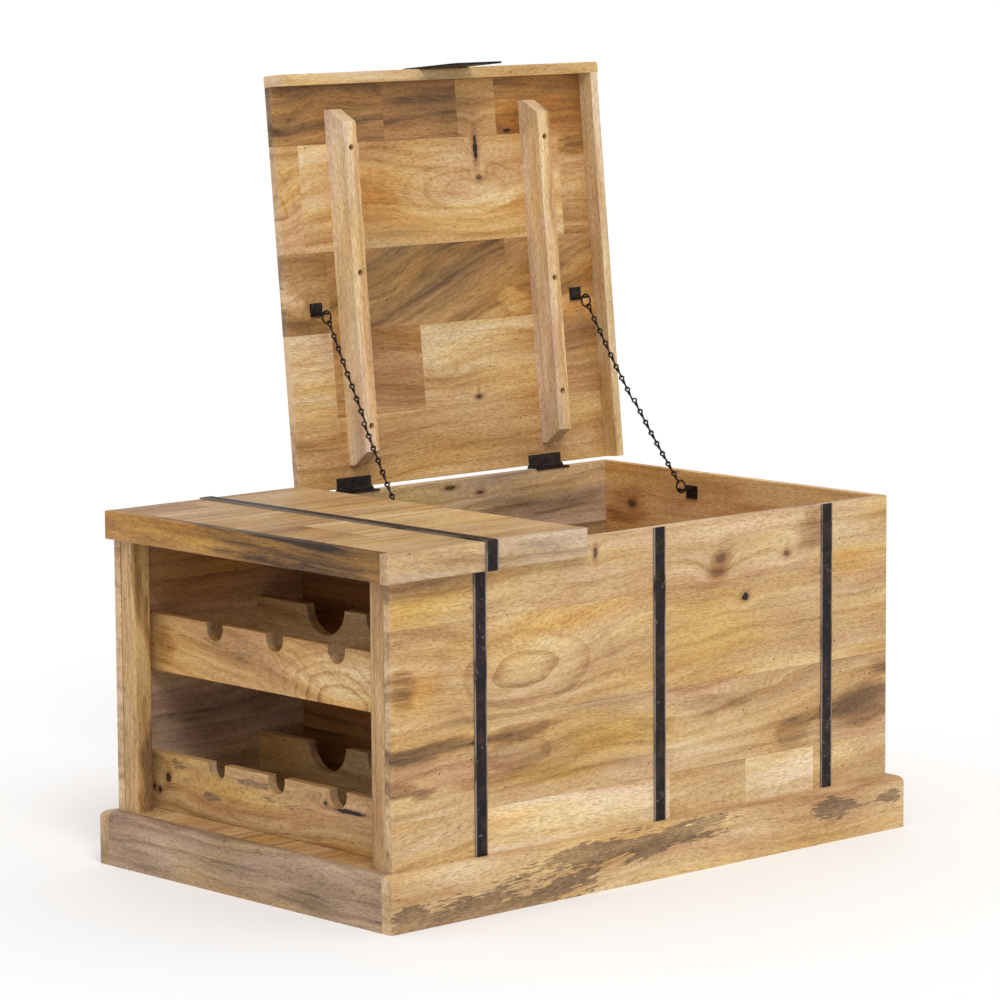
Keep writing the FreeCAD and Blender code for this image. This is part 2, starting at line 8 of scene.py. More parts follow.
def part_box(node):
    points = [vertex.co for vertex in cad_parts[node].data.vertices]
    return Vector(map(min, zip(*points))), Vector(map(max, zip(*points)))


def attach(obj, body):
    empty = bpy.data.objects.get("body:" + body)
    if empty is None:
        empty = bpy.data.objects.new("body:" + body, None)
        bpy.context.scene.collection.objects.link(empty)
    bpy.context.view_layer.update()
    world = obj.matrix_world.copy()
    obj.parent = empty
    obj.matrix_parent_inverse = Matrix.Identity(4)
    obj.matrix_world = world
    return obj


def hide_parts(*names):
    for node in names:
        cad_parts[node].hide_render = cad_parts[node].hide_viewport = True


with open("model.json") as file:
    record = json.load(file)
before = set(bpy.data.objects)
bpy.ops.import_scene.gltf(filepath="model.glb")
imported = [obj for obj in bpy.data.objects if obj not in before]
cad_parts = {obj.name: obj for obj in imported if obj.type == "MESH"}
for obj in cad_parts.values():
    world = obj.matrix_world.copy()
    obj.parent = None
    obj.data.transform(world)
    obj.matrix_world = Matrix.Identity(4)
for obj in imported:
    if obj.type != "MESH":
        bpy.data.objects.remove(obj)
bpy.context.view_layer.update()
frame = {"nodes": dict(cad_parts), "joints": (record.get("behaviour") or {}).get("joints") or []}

nodes = frame["nodes"]


# PLINTH
# Four skirting boards of solid mango wood round the foot of the chest, each with a rounded top edge. They
# are butted at the corners, glued and nailed to the panels, and lacquered satin over the bare, partly
# spalted wood.

def srgb(red, green, blue):
    """A colour of 0 to 255 per channel, as a shader takes it."""
    channels = [channel / 255 for channel in (red, green, blue)]
    return tuple(c / 12.92 if c < 0.04045 else ((c + 0.055) / 1.055) ** 2.4 for c in channels) + (1.0,)


class Shade:
    """One output in a material. Arithmetic on it adds Math nodes, and node() adds any other node."""

    def __init__(self, socket):
        self.socket = socket

    def node(self, kind, settings, values, output=0):
        tree = self.socket.id_data
        made = tree.nodes.new(kind)
        for name, value in settings.items():
            if name == "stops":
                made.color_ramp.interpolation = value[0]
                made.color_ramp.elements.remove(made.color_ramp.elements[1])
                for number, (position, colour) in enumerate(value[1]):
                    stop = made.color_ramp.elements.new(position) if number else made.color_ramp.elements[0]
                    stop.position = position
                    stop.color = colour
            else:
                setattr(made, name, value)
        for name, value in values.items():
            if isinstance(value, Shade):
                tree.links.new(value.socket, made.inputs[name])
            else:
                made.inputs[name].default_value = value
        return Shade(made.outputs[output])

    def math(self, operation, *values):
        return self.node("ShaderNodeMath", {"operation": operation}, dict(enumerate(values)))

    def __add__(self, other):
        return self.math("ADD", self, other)

    __radd__ = __add__

    def __sub__(self, other):
        return self.math("SUBTRACT", self, other)

    def __rsub__(self, other):
        return self.math("SUBTRACT", other, self)

    def __mul__(self, other):
        return self.math("MULTIPLY", self, other)

    __rmul__ = __mul__

    def __truediv__(self, other):
        return self.math("DIVIDE", self, other)

    def __rtruediv__(self, other):
        return self.math("DIVIDE", other, self)

    def __gt__(self, other):
        return self.math("GREATER_THAN", self, other)

    def __lt__(self, other):
        return self.math("LESS_THAN", self, other)

    def absolute(self):
        return self.math("ABSOLUTE", self)

    def bell(self):
        """1 where this is 0, and falling off softly as it grows."""
        return self.math("EXPONENT", self * -1)

    def step(self, low, high):
        """0 below low and 1 above high, with a smooth change between."""
        values = {0: self, 1: low, 2: high}
        return self.node("ShaderNodeMapRange", {"interpolation_type": "SMOOTHSTEP"}, values)

    def blend(self, first, second, kind="MIX"):
        """The first colour where this is 0 and the second where it is 1."""
        settings = {"data_type": "RGBA", "blend_type": kind}
        return self.node("ShaderNodeMix", settings, {0: self, 6: first, 7: second}, 2)

    def ramp(self, stops, interpolation="LINEAR"):
        return self.node("ShaderNodeValToRGB", {"stops": (interpolation, stops)}, {0: self})

    def vector(self, operation, other, output=0):
        return self.node("ShaderNodeVectorMath", {"operation": operation}, {0: self, 1: other}, output)

    def noise(self, scale, detail, roughness=0.5, output=0):
        """Noise at this place, with its own number of cells per metre along each axis."""
        place = self.vector("MULTIPLY", scale)
        values = {"Vector": place, "Scale": 1.0, "Detail": detail, "Roughness": roughness}
        return self.node("ShaderNodeTexNoise", {}, values, output)

    def split(self):
        """The three channels of a colour."""
        return [self.node("ShaderNodeSeparateColor", {}, {0: self}, channel) for channel in range(3)]


def oval(u, v, spot):
    """How far a place is from the middle of an oval spot, squared: 1 on its outline."""
    off_u = (u - spot[0]) / spot[2]
    off_v = (v - spot[1]) / spot[3]
    return off_u * off_u + off_v * off_v


straw_tones = [
    (0.00, srgb(228, 204, 170)),
    (0.18, srgb(210, 180, 137)),
    (0.36, srgb(192, 156, 110)),
    (0.54, srgb(164, 126, 82)),
    (0.72, srgb(126, 95, 64)),
    (0.88, srgb(86, 63, 44)),
    (1.00, srgb(48, 34, 25)),
]
ash_tones = [
    (0.00, srgb(236, 216, 192)),
    (0.18, srgb(212, 186, 158)),
    (0.36, srgb(190, 162, 135)),
    (0.54, srgb(163, 136, 112)),
    (0.72, srgb(124, 100, 80)),
    (0.88, srgb(88, 70, 56)),
    (1.00, srgb(52, 40, 33)),
]
wood_tints = [
    (0.32, srgb(247, 236, 236)),
    (0.45, srgb(251, 250, 249)),
    (0.57, srgb(253, 250, 229)),
    (0.70, srgb(254, 238, 203)),
]
fleck_tones = [
    (0.30, (1.14, 1.17, 1.22, 1.0)),
    (0.50, (1.0, 1.0, 1.0, 1.0)),
    (0.68, (0.77, 0.73, 0.66, 1.0)),
]
spalt_tones = [
    (0.34, srgb(178, 142, 100)),
    (0.50, srgb(132, 105, 78)),
    (0.66, srgb(90, 70, 52)),
]
end_tones = [
    (0.30, srgb(212, 182, 144)),
    (0.55, srgb(166, 134, 98)),
    (0.85, srgb(96, 72, 52)),
]
spalt_line = srgb(78, 58, 36)
knot_halo = srgb(138, 92, 54)
knot_core = srgb(34, 20, 13)
pinhole_dark = srgb(46, 30, 20)
glue_brown = srgb(92, 64, 40)

# How fine each part of the figure is: cells per metre along the grain, across it and through the board.
sway_cells = (3.0, 9.0, 9.0)
cloud_cells = (2.2, 10.0, 10.0)
band_cells = (5.0, 34.0, 34.0)
heart_cells = (1.8, 24.0, 24.0)
streak_cells = (8.0, 130.0, 130.0)
fibre_cells = (130.0, 760.0, 760.0)
pore_cells = (90.0, 520.0, 520.0)
tint_cells = (3.0, 20.0, 20.0)
rag_cells = (9.0, 56.0, 56.0)
fringe_cells = (40.0, 420.0, 420.0)
knot_cells = (90.0, 160.0, 160.0)
speck_cells = (300.0, 330.0, 330.0)
rings_per_metre = 40.0
pinhole_cells_per_metre = 17.0

# How much each part of the figure darkens the wood, where 1 is the whole range of its tones.
cloud_depth = 0.62
band_depth = 0.62
streak_depth = 0.42
ring_depth = 0.13
heart_depth = 0.30
pore_depth = 0.10

# Where a soft edge begins and ends: a glue line's half width in metres, a pinhole's radius in cells, and how
# squarely a face has to look along a way to count as facing it.
glue_line = (0.0002, 0.0009)
pinhole_edge = (0.012, 0.026)
square_on = (0.6, 0.9)
pinhole_share = 0.34


def mango(name, along, across, rows, tones=straw_tones, eyes=(), zones=(), washes=(), patches=(), knots=(),
          start=(0, 0, 0)):
    """Lacquered mango wood with its grain along one way and its boards side by side across it.

    A row is a board: its far edge, then its lengths as (end, tone, seed, spalt, slope). The marks are
    ovals: the middle along and across, half the length and half the width, and one thing more. That is the
    depth of a darker or paler zone, the tint of a wash, the amount of spalt in a patch or the darkness of a
    knot. An eye, which the grain flows round, has two: its number of rings and how plain they are.
    """
    material = bpy.data.materials.new(name)
    material.use_nodes = True
    tree = material.node_tree
    finish = tree.nodes["Principled BSDF"]
    places = tree.nodes.new("ShaderNodeTexCoord")
    point = Shade(places.outputs["Object"]).vector("SUBTRACT", start)
    facing = Shade(places.outputs["Normal"])
    along = Vector(along)
    across = Vector(across)
    u = point.vector("DOT_PRODUCT", along, 1)
    v = point.vector("DOT_PRODUCT", across, 1)
    through = along.cross(across)
    w = point.vector("DOT_PRODUCT", through, 1)

    board = None
    tilt = None
    joint = None
    for edge, lengths in rows:
        stops = []
        begin = 0.0
        for end, tone, seed, spalt, slope in lengths:
            stops.append((begin, (tone, seed, spalt, slope + 0.5)))
            begin = end + 0.5
        strip = (u + 0.5).ramp(stops, "CONSTANT")
        strip_tilt = Shade(strip.socket.node.outputs["Alpha"])
        if board is None:
            board = strip
            tilt = strip_tilt
        else:
            beyond = v > near_edge
            board = beyond.blend(board, strip)
            tilt = tilt + beyond * (strip_tilt - tilt)
            line = 1 - (v - near_edge).absolute().step(*glue_line)
            joint = line if joint is None else joint.math("MAXIMUM", joint, line)
        near_edge = edge
    tone, seed, spalt = board.split()

    shift = u.node("ShaderNodeCombineXYZ", {}, {0: seed * 3.0, 1: seed * 1.7, 2: seed * 2.3})
    place = u.node("ShaderNodeCombineXYZ", {}, {0: u, 1: v, 2: w}).vector("ADD", shift)
    sway_u, sway_v, presence = place.noise(sway_cells, 3.0, 0.5, 1).split()
    bent_u = u + (sway_u - 0.5) * 0.12
    bent_v = v + (sway_v - 0.5) * 0.05
    flow = bent_v - (tilt - 0.5) * u
    depth = tone
    for eye in eyes:
        ring_count, plainness = eye[4:]
        reach = oval(bent_u, bent_v, eye)
        swell = reach.bell()
        flow = flow + swell * (eye[3] * 0.55)
        turn = reach.math("SQRT", reach) * ring_count
        late = turn.math("FRACT", turn)
        ring = late.step(0.50, 0.96) * (1 - late.step(0.96, 1.0)) * reach.step(0.02, 0.12)
        depth = depth + ring * swell * plainness
    for knot in knots:
        flow = flow + (oval(u, v, knot) / 12.0).bell() * 0.010
    grain = u.node("ShaderNodeCombineXYZ", {}, {0: u, 1: flow, 2: w}).vector("ADD", shift)
    cloud = place.noise(cloud_cells, 3.0, 0.55)
    band = grain.noise(band_cells, 3.0, 0.55)
    heart = grain.noise(heart_cells, 4.0, 0.58).step(0.54, 0.76)
    streak = grain.noise(streak_cells, 4.0, 0.6)
    fibre = grain.noise(fibre_cells, 1.0, 0.6)
    pore = grain.noise(pore_cells, 1.0, 0.5).step(0.60, 0.70)

    rings = flow * rings_per_metre + band * 0.9
    late = rings.math("FRACT", rings)
    line = late.step(0.60, 0.95) * (1 - late.step(0.96, 1.0))
    depth = depth + (cloud - 0.5) * cloud_depth + (band - 0.5) * band_depth + (streak - 0.5) * streak_depth
    depth = depth + (line + late * 0.4 - 0.35) * presence * ring_depth + heart * heart_depth - 0.05
    depth = depth + pore * pore_depth
    rag = grain.noise(rag_cells, 6.0, 0.70)
    for zone in zones:
        ragged = oval(bent_u, bent_v, zone) + (rag - 0.5) * 5.0
        depth = depth + (1 - ragged.step(0.1, 1.7)) * zone[4]
    tint = grain.noise(tint_cells, 2.0).ramp(wood_tints)
    multiply = {"data_type": "RGBA", "blend_type": "MULTIPLY"}
    colour = u.node("ShaderNodeMix", multiply, {0: 1.0, 6: depth.ramp(tones), 7: tint}, 2)
    colour = u.node("ShaderNodeMix", multiply, {0: 1.0, 6: colour, 7: fibre.ramp(fleck_tones)}, 2)
    for wash in washes:
        colour = oval(bent_u, bent_v, wash).bell().blend(colour, wash[4], "MULTIPLY")

    fringe = grain.noise(fringe_cells, 2.0, 0.6)
    decay = spalt + (rag - 0.5) * 1.9 + (fringe - 0.5) * 0.8
    for patch in patches:
        decay = decay + oval(bent_u, bent_v, patch).bell() * patch[4]
    spalted = decay.step(0.50, 0.57)
    rim = spalted * (1 - decay.step(0.57, 0.68))
    colour = (spalted * 0.85).blend(colour, (band * 0.6 + fibre * 0.4).ramp(spalt_tones))
    colour = (rim * 0.35).blend(colour, spalt_line)

    dots = u.node("ShaderNodeCombineXYZ", {}, {0: u, 1: v, 2: 0.0})
    flat_cells = {"voronoi_dimensions": "2D"}
    cell_places = {"Vector": dots, "Scale": pinhole_cells_per_metre}
    far = u.node("ShaderNodeTexVoronoi", flat_cells, cell_places, 0)
    pick = u.node("ShaderNodeTexVoronoi", flat_cells, cell_places, 1).split()[0]
    broad = facing.vector("DOT_PRODUCT", through, 1).absolute().step(*square_on)
    pin = (1 - far.step(*pinhole_edge)) * (pick > 1 - pinhole_share) * broad
    hole = pin
    for knot in knots:
        wander = place.noise(knot_cells, 2.0)
        reach = oval(u, v, knot) + (wander - 0.5) * 2.2
        halo = 1 - reach.step(0.4, 6.0)
        colour = (halo * 0.6).blend(colour, knot_halo)
        core = 1 - reach.step(0.5, 1.3)
        colour = (core * knot[4]).blend(colour, knot_core)
        hole = hole.math("MAXIMUM", hole, core * knot[4])
    colour = (pin * 0.85).blend(colour, pinhole_dark)
    if joint is not None:
        colour = (joint * 0.22).blend(colour, glue_brown)
        hole = hole.math("MAXIMUM", hole, joint * 0.3)

    end_grain = facing.vector("DOT_PRODUCT", along, 1).absolute().step(*square_on)
    speck = place.noise(speck_cells, 3.0, 0.7)
    colour = end_grain.blend(colour, (speck * 0.4 + depth * 0.8).ramp(end_tones))

    height = fibre * 0.5 - pore * 0.6 - hole * 2.0 + streak * 0.4
    rough = 0.42 + fibre * 0.12 + pore * 0.12 + spalted * 0.12 + end_grain * 0.15
    bump = u.node("ShaderNodeBump", {}, {"Strength": 0.35, "Distance": 0.0006, "Height": height})
    tree.links.new(colour.socket, finish.inputs["Base Color"])
    tree.links.new(rough.socket, finish.inputs["Roughness"])
    tree.links.new(bump.socket, finish.inputs["Normal"])
    finish.inputs["Specular IOR Level"].default_value = 0.3
    return material


def dress(material, *names):
    """The material on these pieces of the CAD model."""
    for name in names:
        nodes[name].data.materials.clear()
        nodes[name].data.materials.append(material)


along_x = (1, 0, 0)
along_y = (0, 1, 0)
along_z = (0, 0, 1)
dress(mango("plinth_front_wood", along_x, along_z, [(0.1, [(0.5, 0.32, 0.13, 0.0, 0.03)])], patches=[
    (-0.29, 0.010, 0.20, 0.034, 0.72), (-0.17, 0.052, 0.08, 0.008, 0.5), (0.00, 0.044, 0.20, 0.022, 0.72),
    (0.32, 0.052, 0.06, 0.017, 0.72), (0.42, 0.046, 0.03, 0.014, 0.7),
    (-0.43, 0.02, 0.03, 0.03, 0.5)]), "plinth_front")
dress(mango("plinth_side_wood", along_y, along_z, [(0.1, [(0.5, 0.57, 0.47, 0.02, 0.0)])], ash_tones),
      "plinth_left", "plinth_right")
dress(mango("plinth_back_wood", along_x, along_z, [(0.1, [(0.5, 0.40, 0.71, 0.15, 0.0)])], ash_tones),
      "plinth_back")


# PANELS
# The box is of 12 mm panels, each glued up edge to edge from mango boards of mixed colour, with its grain
# lying level. Front and back run the whole length, and the right end and the partition stand between them,
# glued and nailed.

russet_tones = [
    (0.00, srgb(226, 184, 130)),
    (0.18, srgb(208, 160, 104)),
    (0.36, srgb(186, 134, 80)),
    (0.54, srgb(155, 106, 61)),
    (0.72, srgb(118, 78, 44)),
    (0.88, srgb(84, 54, 32)),
    (1.00, srgb(50, 32, 21)),
]
gold = srgb(255, 236, 192)
amber = srgb(255, 216, 160)
olive = srgb(251, 246, 196)
lilac = srgb(232, 226, 232)
dress(mango("front_panel_wood", along_x, along_z, [
    (0.128, [(-0.29, 0.34, 0.11, 0.22, 0.15), (0.03, 0.14, 0.21, 0.0, 0.0), (0.165, 0.36, 0.31, 0.0, 0.0),
             (0.29, 0.10, 0.44, 0.0, 0.0), (0.5, 0.36, 0.51, 0.1, 0.1)]),
    (0.236, [(0.5, 0.34, 0.62, 0.02, 0.06)]),
    (0.362, [(0.5, 0.355, 0.33, 0.0, 0.05)]),
    (0.445, [(0.5, 0.30, 0.84, 0.0, 0.02)]),
], eyes=[(-0.225, 0.297, 0.110, 0.054, 2.1, 0.28), (-0.23, 0.18, 0.08, 0.035, 1.6, 0.16),
          (0.07, 0.19, 0.12, 0.04, 2.0, 0.12)],
    zones=[(-0.425, 0.294, 0.022, 0.030, 0.34), (-0.37, 0.213, 0.08, 0.012, 0.30),
           (-0.415, 0.172, 0.03, 0.010, 0.30),
           (-0.369, 0.161, 0.02, 0.006, 0.34), (-0.226, 0.207, 0.06, 0.012, 0.26),
           # The darker band just below the fixed top's front lip is painted shade: the lip's shadow on the
           # front panel.
           (-0.35, 0.408, 0.12, 0.014, 0.16),
           (0.291, 0.405, 0.028, 0.030, 0.26), (0.37, 0.176, 0.06, 0.022, 0.24),
           (0.272, 0.159, 0.03, 0.02, 0.20),
           (0.42, 0.213, 0.03, 0.010, 0.28), (0.17, 0.215, 0.15, 0.010, 0.12),
           (0.117, 0.385, 0.022, 0.022, 0.16),
           (-0.225, 0.297, 0.09, 0.04, -0.10), (-0.126, 0.114, 0.15, 0.014, -0.10)],
    washes=[(-0.14, 0.348, 0.14, 0.012, gold), (0.372, 0.367, 0.05, 0.012, gold),
            (-0.40, 0.290, 0.03, 0.035, gold),
            (0.114, 0.366, 0.012, 0.010, amber), (-0.10, 0.190, 0.10, 0.025, olive),
            (-0.16, 0.147, 0.08, 0.010, olive),
            (0.12, 0.300, 0.10, 0.035, olive), (-0.38, 0.385, 0.10, 0.02, olive),
            (-0.08, 0.231, 0.10, 0.010, lilac),
            (0.17, 0.213, 0.14, 0.012, lilac), (-0.25, 0.179, 0.05, 0.02, lilac),
            (0.291, 0.405, 0.03, 0.03, lilac),
            (0.36, 0.170, 0.08, 0.025, lilac), (-0.02, 0.148, 0.05, 0.012, lilac),
            (0.407, 0.10, 0.04, 0.02, lilac)],
    knots=[(0.124, 0.392, 0.010, 0.006, 0.5), (0.118, 0.374, 0.012, 0.006, 0.4),
           (0.243, 0.386, 0.005, 0.004, 0.6),
           (0.167, 0.338, 0.006, 0.005, 1.0), (-0.097, 0.422, 0.003, 0.007, 0.7)]), "front_panel")
dress(mango("back_panel_wood", along_x, along_z, [
    (0.12, [(-0.13, 0.30, 0.19, 0.0, 0.0), (0.5, 0.45, 0.24, 0.0, 0.0)]),
    (0.24, [(-0.13, 0.34, 0.29, 0.0, 0.0), (0.5, 0.36, 0.34, 0.1, 0.0)]),
    (0.36, [(-0.13, 0.26, 0.39, 0.0, 0.0), (0.5, 0.48, 0.44, 0.0, 0.0)]),
    (0.445, [(-0.13, 0.28, 0.49, 0.0, 0.0), (0.5, 0.30, 0.54, 0.12, 0.05)])], ash_tones,
    # In the rack bay the dark zone and the amber and lilac washes are painted shade, the amber one also
    # warmer.
    zones=[(0.30, 0.400, 0.10, 0.020, 0.12), (-0.28, 0.19, 0.12, 0.03, 0.20),
           (-0.37, 0.11, 0.06, 0.03, -0.2)],
    washes=[(0.06, 0.42, 0.08, 0.03, olive), (-0.30, 0.37, 0.17, 0.09, amber),
            (-0.30, 0.20, 0.20, 0.06, lilac)],
    knots=[(0.130, 0.432, 0.010, 0.003, 0.8), (0.184, 0.421, 0.007, 0.003, 0.8)]), "back_panel")
dress(mango("end_panel_wood", along_y, along_z, [
    (0.12, [(0.5, 0.22, 0.15, 0.0, 0.0)]), (0.24, [(0.5, 0.14, 0.25, 0.05, 0.0)]),
    (0.36, [(0.5, 0.18, 0.35, 0.0, 0.0)]), (0.445, [(0.5, 0.14, 0.45, 0.0, 0.0)])], russet_tones,
    zones=[(0.175, 0.388, 0.04, 0.03, 0.25)], knots=[(0.175, 0.388, 0.008, 0.006, 0.7)]), "right_end_panel")
dress(mango("partition_wood", along_y, along_z, [
    (0.14, [(0.5, 0.55, 0.18, 0.0, 0.0)]), (0.27, [(0.5, 0.62, 0.28, 0.0, 0.0)]),
    (0.36, [(0.5, 0.55, 0.38, 0.0, 0.0)]), (0.445, [(0.5, 0.60, 0.48, 0.0, 0.0)])], russet_tones),
      "partition_panel")
dress(mango("floor_wood", along_x, along_y, [
    (-0.15, [(0.5, 0.40, 0.17, 0.0, 0.0)]), (0.0, [(0.5, 0.48, 0.27, 0.0, 0.0)]),
    (0.12, [(0.5, 0.36, 0.37, 0.1, 0.0)]), (0.3, [(0.5, 0.45, 0.57, 0.0, 0.0)])]), "floor_panel")


# RACK
# Two square posts stand at the open left end, and four mango rails with sawn notches lie between front and
# back: the narrow notches take a bottle's neck and the wide ones its body. All are glued and nailed through
# the panels.

golden_tones = [
    (0.00, srgb(228, 202, 164)),
    (0.18, srgb(212, 177, 128)),
    (0.36, srgb(195, 153, 100)),
    (0.54, srgb(168, 124, 73)),
    (0.72, srgb(130, 94, 57)),
    (0.88, srgb(88, 62, 40)),
    (1.00, srgb(48, 34, 24)),
]
dress(mango("post_wood", along_z, along_y, [(0.5, [(0.5, 0.48, 0.23, 0.0, 0.0)])], straw_tones,
            # The zone is painted shade: a darker stripe at y 0.202 down the back post, on its side that faces
            # the front.
            zones=[(0.25, 0.202, 0.4, 0.003, 0.30)]),
      "rack_post_front", "rack_post_back")
dress(mango("upper_neck_wood", along_y, along_z, [(0.5, [(0.5, 0.42, 0.64, 0.02, 0.1)])], golden_tones,
            eyes=[(-0.15, 0.250, 0.10, 0.050, 4.4, 0.36)],
            zones=[(0.196, 0.289, 0.02, 0.03, 0.22), (-0.15, 0.272, 0.08, 0.03, -0.16)],
            washes=[(0.03, 0.300, 0.05, 0.02, lilac), (-0.03, 0.270, 0.03, 0.02, lilac)],
            patches=[(0.02, 0.300, 0.03, 0.02, 0.50), (0.09, 0.305, 0.04, 0.012, 0.46)]), "upper_neck_rail")
dress(mango("lower_neck_wood", along_y, along_z, [(0.5, [(0.5, 0.52, 0.54, 0.05, 0.0)])], straw_tones,
            eyes=[(0.03, 0.090, 0.12, 0.040, 2.6, 0.08)], washes=[(0.06, 0.105, 0.12, 0.02, olive)],
            patches=[(0.172, 0.129, 0.03, 0.012, 0.60), (0.046, 0.129, 0.06, 0.008, 0.62),
                     (0.10, 0.10, 0.02, 0.01, 0.55),
                     (-0.03, 0.112, 0.06, 0.006, 0.55)],
            knots=[(0.189, 0.113, 0.005, 0.007, 0.9), (0.218, 0.098, 0.003, 0.004, 0.9),
                   (0.207, 0.095, 0.003, 0.004, 0.9),
                   (-0.120, 0.125, 0.004, 0.003, 0.9),
                   (-0.165, 0.120, 0.030, 0.003, 1.0)]), "lower_neck_rail")
dress(mango("body_rail_wood", along_y, along_z, [
    (0.2, [(0.5, 0.34, 0.73, 0.0, 0.0)]),
    (0.5, [(0.5, 0.40, 0.83, 0.0, 0.0)])]), "lower_body_rail", "upper_body_rail")


# FIXED TOP
# A glued-up mango panel over the rack with its grain along the chest, and a lip on its front and left edges
# that hangs below it. The panel is nailed to the box and the lips are glued to the panel's edges.

dress(mango("fixed_top_wood", along_x, along_y, [
    (-0.17, [(0.5, 0.42, 0.12, 0.0, 0.0)]),
    (-0.045, [(-0.36, 0.42, 0.22, 0.0, 0.0), (0.5, 0.24, 0.32, 0.0, 0.0)]),
    (0.06, [(-0.30, 0.50, 0.42, 0.0, 0.0), (0.5, 0.38, 0.52, 0.0, 0.0)]),
    (0.17, [(0.5, 0.40, 0.62, 0.0, 0.0)]),
    (0.3, [(-0.33, 0.56, 0.72, 0.0, 0.0), (0.5, 0.38, 0.82, 0.0, 0.0)])]), "fixed_top_panel")
dress(mango("fixed_front_lip_wood", along_x, along_z, [(0.5, [(0.5, 0.39, 0.14, 0.0, 0.0)])], ash_tones),
      "fixed_top_front_lip")
dress(mango("fixed_left_lip_wood", along_y, along_z, [(0.5, [(0.5, 0.64, 0.24, 0.02, 0.0)])], golden_tones,
            zones=[(0.05, 0.457, 0.25, 0.006, 0.34), (-0.16, 0.424, 0.14, 0.006, 0.26)],
            washes=[(0.0, 0.44, 0.5, 0.03, olive)], patches=[(0.05, 0.458, 0.22, 0.007, 0.52)]),
      "fixed_top_left_lip")


# STRAPS
# Flat bars of black iron, 2 mm thick: three upright on the front and one over the fixed top, folded down over
# its front lip. Each is held with small domed iron nails, driven through punched holes into the wood.

iron_tones = [
    (0.36, srgb(14, 10, 10)),
    (0.50, srgb(26, 19, 18)),
    (0.66, srgb(60, 42, 36)),
]
# The light colour of rubbed spots and of the edge lines, which are partly a painted highlight.
rubbed_and_highlit_iron = srgb(150, 138, 132)
mottle_cells = (60.0, 60.0, 60.0)
grit_cells = (700.0, 700.0, 700.0)
rub_cells = (110.0, 110.0, 110.0)
edge_wear_and_highlight_cells = (8.0, 8.0, 14.0)
edge_wear_and_highlight_width = (0.0010, 0.0026)


def iron(name, scuff_and_highlight, rough, edges=()):
    """Blacked iron mottled brown and rubbed brighter in spots; along edges at these x, wear and a painted
    highlight.
    """
    material = bpy.data.materials.new(name)
    material.use_nodes = True
    tree = material.node_tree
    finish = tree.nodes["Principled BSDF"]
    place = Shade(tree.nodes.new("ShaderNodeTexCoord").outputs["Object"])
    mottle = place.noise(mottle_cells, 4.0, 0.6)
    grit = place.noise(grit_cells, 2.0, 0.6)
    rub_and_highlight = place.noise(rub_cells, 3.0, 0.7).step(0.62, 0.74)
    x = place.node("ShaderNodeSeparateXYZ", {}, {0: place})
    # Each edge gets a lighter line: real wear of the blacking, and a painted highlight where the rounded edge
    # catches light.
    for edge in edges:
        near = 1 - (x - edge).absolute().step(*edge_wear_and_highlight_width)
        wear_and_highlight = place.noise(edge_wear_and_highlight_cells, 3.0, 0.6).step(0.30, 0.52)
        rub_and_highlight = rub_and_highlight.math("MAXIMUM", rub_and_highlight, near * wear_and_highlight)
    colour = (mottle * 0.7 + grit * 0.3).ramp(iron_tones)
    colour = (rub_and_highlight * scuff_and_highlight).blend(colour, rubbed_and_highlit_iron)
    height = mottle + grit * 0.3
    bump = place.node("ShaderNodeBump", {}, {"Strength": 0.4, "Distance": 0.0005, "Height": height})
    tree.links.new(colour.socket, finish.inputs["Base Color"])
    tree.links.new((rough + grit * 0.2 - rub_and_highlight * 0.1).socket, finish.inputs["Roughness"])
    tree.links.new((rub_and_highlight * 0.6).socket, finish.inputs["Metallic"])
    tree.links.new(bump.socket, finish.inputs["Normal"])
    finish.inputs["Specular IOR Level"].default_value = 0.2
    return material


# Each strap's two long edges get the line of wear and painted highlight.
for strap in ("front_strap_left", "front_strap_middle", "front_strap_right", "fixed_top_strap"):
    low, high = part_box(strap)
    dress(iron(strap + "_iron", 0.9, 0.38, (low.x, high.x)), strap)
dress(iron("nail_iron", 0.5, 0.35), "strap_nails", "lid_pull_tab_nails")


# HINGES
# Two butt hinges of black iron at the back: a leaf screwed to the top of the back panel, a leaf screwed under
# the lid, and a pin through the knuckles. The screw heads lie flush in the leaves and are blacked like them.

dress(iron("hinge_iron", 0.2, 0.30), "hinge_left_body_leaf", "hinge_right_body_leaf", "hinge_left_lid_leaf",
      "hinge_right_lid_leaf", "hinge_left_pin", "hinge_right_pin")
dress(iron("screw_steel", 0.1, 0.5), "hinge_body_screws", "hinge_lid_screws", "batten_screws")


# LID
# A mango panel of five rows of boards with its grain along the chest, a lip on its front and right edges, and
# two bevelled battens screwed across its underside from counterbored holes. It stands open, leaning back on
# its chains.

